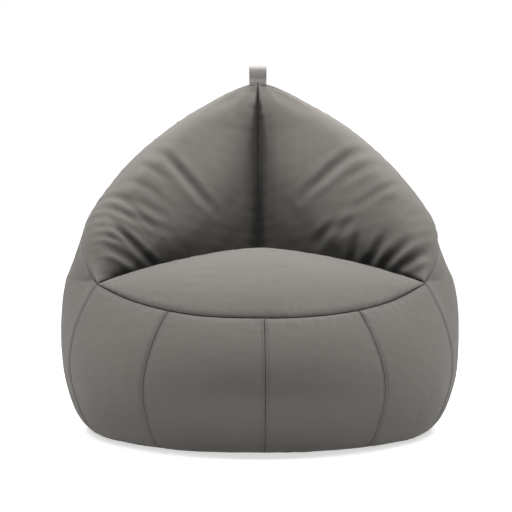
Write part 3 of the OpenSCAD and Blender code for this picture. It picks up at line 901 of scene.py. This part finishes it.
# ---------------------------------------------------------------- materials
class Nodes:
    """Short names for making shader nodes."""

    def __init__(self, name):
        self.material = bpy.data.materials.new(name)
        self.material.use_nodes = True
        self.tree = self.material.node_tree
        self.shader = next(n for n in self.tree.nodes if n.type == "BSDF_PRINCIPLED")

    def add(self, kind, **values):
        node = self.tree.nodes.new("ShaderNode" + kind)
        for key, value in values.items():
            if hasattr(node, key) and key not in node.inputs:
                setattr(node, key, value)
            else:
                node.inputs[key.replace("_", " ")].default_value = value
        return node

    def link(self, source, target):
        self.tree.links.new(source, target)

    def drive(self, socket, source):
        self.link(source, self.shader.inputs[socket])

    def math(self, operation, a, b):
        node = self.add("Math", operation=operation)
        for socket, value in zip(node.inputs, (a, b)):
            if isinstance(value, (int, float)):
                socket.default_value = value
            else:
                self.link(value, socket)
        return node.outputs[0]

    def ramp(self, source, *stops):
        node = self.add("ValToRGB")
        while len(node.color_ramp.elements) < len(stops):
            node.color_ramp.elements.new(0.5)
        for element, (place, colour) in zip(node.color_ramp.elements, stops):
            element.position = place
            element.color = colour
        self.link(source, node.inputs[0])
        return node.outputs[0]

    def coordinates(self, name):
        if name == "cloth":
            return self.add("Attribute", attribute_name="cloth").outputs["Vector"]
        return self.add("TexCoord").outputs["Object"]

    def noise(self, vector, scale, detail=3.0, rough=0.55):
        node = self.add("TexNoise", Scale=scale, Detail=detail, Roughness=rough)
        self.link(vector, node.inputs["Vector"])
        return node.outputs["Fac"]

    def stretched(self, vector, x, y, z=1.0):
        node = self.add("VectorMath", operation="MULTIPLY")
        node.inputs[1].default_value = (x, y, z)
        self.link(vector, node.inputs[0])
        return node.outputs[0]

    def paint_crease_shade(self, colour, reach):
        """Paints shade into the colour in folds and hollows, from ambient occlusion, and less of
        it near the floor.
        """
        # painted shade: the ambient occlusion darkens the base colour in folds and hollows
        open_share = self.add("AmbientOcclusion", samples=12)
        open_share.inputs["Distance"].default_value = reach
        shade = self.ramp(open_share.outputs["AO"], (0.45, level(0.10)), (0.95, level(1.0)))
        mix = self.add("Mix", data_type="RGBA", blend_type="MULTIPLY")
        place = self.add("SeparateXYZ")
        self.link(self.coordinates("Object"), place.inputs[0])
        share = self.add("MapRange", From_Min=0.12, From_Max=0.34, To_Min=0.35, To_Max=1.0)
        self.link(place.outputs["Z"], share.inputs["Value"])
        self.link(share.outputs["Result"], mix.inputs["Factor"])
        self.link(colour, mix.inputs[6])
        self.link(shade, mix.inputs[7])
        return mix.outputs[2]

    def bump(self, height, distance, strength=1.0, base=None):
        node = self.add("Bump", Distance=distance, Strength=strength)
        self.link(height, node.inputs["Height"])
        if base is not None:
            self.link(base, node.inputs["Normal"])
        return node.outputs["Normal"]


def grey(colour, share):
    """A colour made darker or lighter."""
    return tuple(c * share for c in colour) + (1.0,)


def level(value):
    """A number as a neutral colour, for a ramp that drives a plain value."""
    return (value, value, value, 1.0)


def linear(code):
    """A colour such as #7b7772 as linear numbers."""
    parts = [int(code[k : k + 2], 16) / 255 for k in (1, 3, 5)]
    return tuple(((c + 0.055) / 1.055) ** 2.4 if c > 0.04045 else c / 12.92 for c in parts)


FABRIC = linear("#7b7772")
WEBBING = linear("#979490")
THREAD = linear("#625e5a")


def woven_material(name, colour, pitch, contrast, depth, coordinates="cloth", sheen=0.12,
                   painted_shade_reach=0.0):
    """Plain weave: threads of two directions with uneven colour, soft wear marks and, when a
    reach is given, painted shade in folds and hollows.
    """
    n = Nodes(name)
    cloth = n.coordinates(coordinates)
    place = n.coordinates("Object")
    split = n.add("SeparateXYZ")
    n.link(cloth, split.inputs[0])
    turn = 2 * math.pi / pitch
    warp = n.math("SINE", n.math("MULTIPLY", split.outputs[0], turn), 0)
    weft = n.math("SINE", n.math("MULTIPLY", split.outputs[1], turn), 0)
    weave = n.math("MULTIPLY", warp, weft)
    slub_warp = n.noise(n.stretched(cloth, 900, 25), 1.0, 2.0)
    slub_weft = n.noise(n.stretched(cloth, 25, 900), 1.0, 2.0)
    slub = n.math("ADD", slub_warp, slub_weft)
    cloud = n.noise(place, 5.0, 4.0)
    tone = n.math("ADD", n.math("MULTIPLY", slub, 0.5), n.math("MULTIPLY", weave, 0.06))
    tone = n.math("ADD", tone, n.math("MULTIPLY", n.math("SUBTRACT", cloud, 0.5), 0.5))
    mixed = n.ramp(tone, (0.25, grey(colour, 1 - contrast)), (0.75, grey(colour, 1 + contrast)))
    # painted shade in folds and hollows, out to the given reach
    if painted_shade_reach:
        mixed = n.paint_crease_shade(mixed, painted_shade_reach)
    n.drive("Base Color", mixed)
    rough = n.ramp(cloud, (0.3, level(0.78)), (0.7, level(0.92)))
    n.drive("Roughness", rough)
    thread = n.math("ADD", n.math("MULTIPLY", weave, 0.5), n.math("MULTIPLY", slub, 0.8))
    soft = n.bump(n.noise(place, 28.0, 2.0), 0.0012, 0.35)
    n.drive("Normal", n.bump(thread, depth, 0.6, soft))
    n.shader.inputs["Specular IOR Level"].default_value = 0.25
    n.shader.inputs["Sheen Weight"].default_value = sheen
    n.shader.inputs["Sheen Roughness"].default_value = 0.5
    return n.material


def ribbed_material(name, colour, rib, depth):
    """Webbing and zip tape: ribs along the length, with fine cross threads."""
    n = Nodes(name)
    cloth = n.coordinates("cloth")
    split = n.add("SeparateXYZ")
    n.link(cloth, split.inputs[0])
    turn = 2 * math.pi / rib
    across = n.math("SINE", n.math("MULTIPLY", split.outputs[0], turn), 0)
    along = n.math("SINE", n.math("MULTIPLY", split.outputs[1], turn * 1.6), 0)
    both = n.math("ADD", n.math("MULTIPLY", across, 0.6), n.math("MULTIPLY", along, 0.4))
    grain = n.noise(n.stretched(cloth, 700, 700), 1.0, 2.0)
    tone = n.math("ADD", n.math("MULTIPLY", both, 0.16), grain)
    n.drive("Base Color", n.ramp(tone, (0.25, grey(colour, 0.84)), (0.75, grey(colour, 1.16))))
    rough = n.ramp(grain, (0.3, level(0.7)), (0.7, level(0.88)))
    n.drive("Roughness", rough)
    n.drive("Normal", n.bump(n.math("ADD", both, grain), depth, 0.7))
    n.shader.inputs["Sheen Weight"].default_value = 0.1
    return n.material


def grained_material(name, colour, scale, rough, metal=0.0, depth=0.0001, contrast=0.12):
    """Thread, coil, metal and beads: a fine grain in colour, roughness and height."""
    n = Nodes(name)
    place = n.coordinates("Object")
    grain = n.noise(place, scale, 4.0)
    shade = n.ramp(grain, (0.3, grey(colour, 1 - contrast)), (0.7, grey(colour, 1 + contrast)))
    n.drive("Base Color", shade)
    dull = n.ramp(grain, (0.3, level(rough - 0.08)), (0.7, level(rough + 0.08)))
    n.drive("Roughness", dull)
    n.drive("Normal", n.bump(grain, depth, 0.5))
    n.shader.inputs["Metallic"].default_value = metal
    return n.material


def bead_material():
    """Small round beads packed together, with painted shade in the gaps between them."""
    n = Nodes("bead_foam")
    place = n.coordinates("Object")
    cells = n.add("TexVoronoi", Scale=260.0)
    n.link(place, cells.inputs["Vector"])
    # painted shade: each bead darkens from its middle out to the gaps between beads
    shade = n.ramp(cells.outputs["Distance"], (0.2, (0.93, 0.93, 0.92, 1)),
                   (0.8, (0.62, 0.62, 0.61, 1)))
    n.drive("Base Color", shade)
    rough = n.ramp(n.noise(place, 60.0), (0.3, level(0.5)), (0.7, level(0.7)))
    n.drive("Roughness", rough)
    n.drive("Normal", n.bump(n.math("SUBTRACT", 1.0, cells.outputs["Distance"]), 0.002))
    return n.material


def paint(obj, material):
    """Gives a piece one material."""
    obj.data.materials.clear()
    obj.data.materials.append(material)
    return obj


# ---------------------------------------------------------------- studio
CAMERA_DISTANCE = 6.0
CAMERA_ELEVATION = 5.0
CAMERA_YAW = 1.5
CAMERA_LENS = 187.5


def camera():
    """A long lens in front of the bag, looking slightly down."""
    data = bpy.data.cameras.new("camera")
    data.lens = CAMERA_LENS
    data.sensor_width = 36.0
    obj = placed("camera", data)
    up, turn = math.radians(CAMERA_ELEVATION), math.radians(CAMERA_YAW)
    away = np.array([-math.sin(turn) * math.cos(up), -math.cos(turn) * math.cos(up),
                     math.sin(up)])
    place = np.array([0, 0, BODY_HEIGHT * 0.465]) + CAMERA_DISTANCE * away
    aim = Vector((-0.009, 0.0, BODY_HEIGHT * 0.503))
    obj.location = place.tolist()
    obj.rotation_euler = (aim - Vector(place.tolist())).to_track_quat("-Z", "Y").to_euler()
    bpy.context.scene.camera = obj


def area_light(name, place, aim, size, power):
    """A round soft light at a place, turned to its aim, that the camera does not see."""
    data = bpy.data.lights.new(name, "AREA")
    data.shape = "DISK"
    data.size = size
    data.energy = power
    obj = placed(name, data)
    obj.visible_camera = False
    obj.location = place
    obj.rotation_euler = (Vector(aim) - Vector(place)).to_track_quat("-Z", "Y").to_euler()


# brightness of the floor to the camera near the bag and far from it, and where it changes
NEAR_GLOW = 0.6
FAR_GLOW = 1.0
GLOW_START = 0.5
GLOW_FULL = 1.5
# least glow of the floor, as light thrown back up, and the strength of the sky
FLOOR_RETURN = 0.4
SKY = 0.12

WHITE = (1.0, 1.0, 1.0, 1.0)
FLOOR_SIZE = 30
FLOOR_SIDES = 96
FLOOR_DROP = 0.0002


def surround():
    """A dim even sky that looks white to the camera."""
    world = bpy.data.worlds.new("studio")
    world.use_nodes = True
    tree = world.node_tree
    back = tree.nodes["Background"]
    back.inputs["Color"].default_value = WHITE
    back.inputs["Strength"].default_value = SKY
    bright = tree.nodes.new("ShaderNodeBackground")
    bright.inputs["Color"].default_value = WHITE
    bright.inputs["Strength"].default_value = 1.0
    path = tree.nodes.new("ShaderNodeLightPath")
    mix = tree.nodes.new("ShaderNodeMixShader")
    tree.links.new(path.outputs["Is Camera Ray"], mix.inputs[0])
    tree.links.new(back.outputs[0], mix.inputs[1])
    tree.links.new(bright.outputs[0], mix.inputs[2])
    tree.links.new(mix.outputs[0], tree.nodes["World Output"].inputs[0])
    bpy.context.scene.world = world


def pale_floor():
    """A wide pale disc that glows to the camera, and more so away from the bag."""
    turn = np.linspace(0, 2 * math.pi, FLOOR_SIDES + 1)[:-1]
    ring = np.stack([FLOOR_SIZE * np.cos(turn), FLOOR_SIZE * np.sin(turn),
                     0 * turn - FLOOR_DROP], 1)
    floor = new_mesh("floor", ring, [list(range(len(ring)))])
    n = Nodes("pale_floor")
    tone = n.noise(n.coordinates("Object"), 1.5)
    shade = n.ramp(tone, (0.0, level(0.80)), (1.0, level(0.84)))
    n.drive("Base Color", shade)
    n.shader.inputs["Roughness"].default_value = 0.9
    path = n.add("LightPath")
    far = n.add("VectorMath", operation="LENGTH")
    n.link(n.coordinates("Object"), far.inputs[0])
    fade = n.add("MapRange", interpolation_type="SMOOTHSTEP", From_Min=GLOW_START,
                 From_Max=GLOW_FULL, To_Min=NEAR_GLOW, To_Max=FAR_GLOW)
    n.link(far.outputs["Value"], fade.inputs["Value"])
    seen = n.math("MULTIPLY", path.outputs["Is Camera Ray"], fade.outputs["Result"])
    n.drive("Emission Strength", n.math("MAXIMUM", seen, FLOOR_RETURN))
    n.shader.inputs["Emission Color"].default_value = WHITE
    return paint(floor, n.material)


def studio():
    """The surround, the floor, three soft lights overhead and one behind."""
    bpy.context.scene.view_settings.view_transform = "Standard"
    surround()
    floor = pale_floor()
    area_light("overhead", (0.0, -0.2, 1.45), (0.0, 0.1, 0.75), 0.7, 8.0)
    area_light("left_overhead", (-1.3, 0.05, 1.8), (0.0, 0.0, 0.6), 0.9, 24)
    area_light("right_overhead", (1.3, 0.05, 1.8), (0.0, 0.0, 0.6), 0.9, 27)
    area_light("rear_fill", (0.3, 2.2, 1.9), (0.0, 0.2, 0.4), 1.2, 22)


# ---------------------------------------------------------------- assembly
def cover_panels(patches, shaped, normals, places, fabric, thread):
    """Every sewn panel as its own piece, and the topstitching beside the side seams."""
    for name, (grid, turn) in patches.items():
        where = places[name]
        points, flat, out = panel_grid(
            name, shaped[where].reshape(grid.shape), normals[where].reshape(grid.shape)
        )
        obj = panel_mesh(name + "_cloth", points, flat, turn)
        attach(paint(obj, fabric), "cover")
        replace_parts(obj, name)
        rows = []
        for kind, reverse in zip(seam_kinds(name)[:2], (False, True)):
            if is_stitched(name, kind):
                rows.append(stitch_row(points, out, reverse))
        if rows:
            sewn = stitches(name.replace("gore", "stitching"), rows)
            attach(paint(sewn, thread), "cover")


camera()
studio()
# the cover fabric carries painted shade in its folds and hollows, out to 0.24 m
fabric = woven_material("cover_weave", FABRIC, 0.0011, 0.07, 0.00022, painted_shade_reach=0.24)
thread = grained_material("topstitch_thread", THREAD, 900, 0.7)
webbing = ribbed_material("webbing_weave", WEBBING, 0.0022, 0.00025)

patches, shaped, quads, places = shaped_cover()
normals = vertex_normals(shaped, quads)
cover_panels(patches, shaped, normals, places, fabric, thread)

for side in (-1, 1):
    half = paint(base_half(side), fabric)
    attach(half, "cover")

loop = paint(strap(), webbing)
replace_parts(loop, "handle_root", "handle_loop")
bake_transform(loop)
sewn = paint(strap_stitches(), thread)
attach(sewn, "cover")

coil_plastic = grained_material("coil_plastic", linear("#45423f"), 500, 0.42)
metal = grained_material("zip_metal", linear("#8d8b88"), 350, 0.36, metal=1.0)
tape = woven_material("zip_tape_weave", linear("#55514d"), 0.0009, 0.1, 0.0001, "Object", 0.05)
for node in ("zip_coil_front", "zip_coil_rear"):
    piece = paint(coil(node + "_wound", node), coil_plastic)
    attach(piece, "cover")

liner_cloth = woven_material("liner_weave", linear("#e2dfd8"), 0.0008, 0.04, 0.0001, "Object")
for name, node, inset, thin, material, slot_name in (
    ("liner_bag", "liner_body", 0.006, 3, liner_cloth, "liner_fabric"),
    ("beads", "bead_fill", 0.0105, 6, bead_material(), "beads"),
):
    layer = paint(inner_layer(name, patches, shaped, places, inset, thin), material)
    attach(layer, "cover")
    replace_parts(layer, node)

liner_coil = grained_material("liner_coil_plastic", linear("#d6d3cc"), 500, 0.45)
KEPT_NODES = {
    "zip_tape_front": tape, "zip_tape_rear": tape, "zip_end_patches": tape,
    "zip_slider": metal, "zip_start_stop": metal, "zip_end_stop": metal,
    "liner_base_front": liner_cloth, "liner_base_rear": liner_cloth,
    "liner_zip_tapes": liner_cloth, "liner_zip_coils": liner_coil,
    "liner_zip_slider": metal, "liner_zip_stops": liner_coil,
}
for node, material in KEPT_NODES.items():
    paint(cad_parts[node], material)
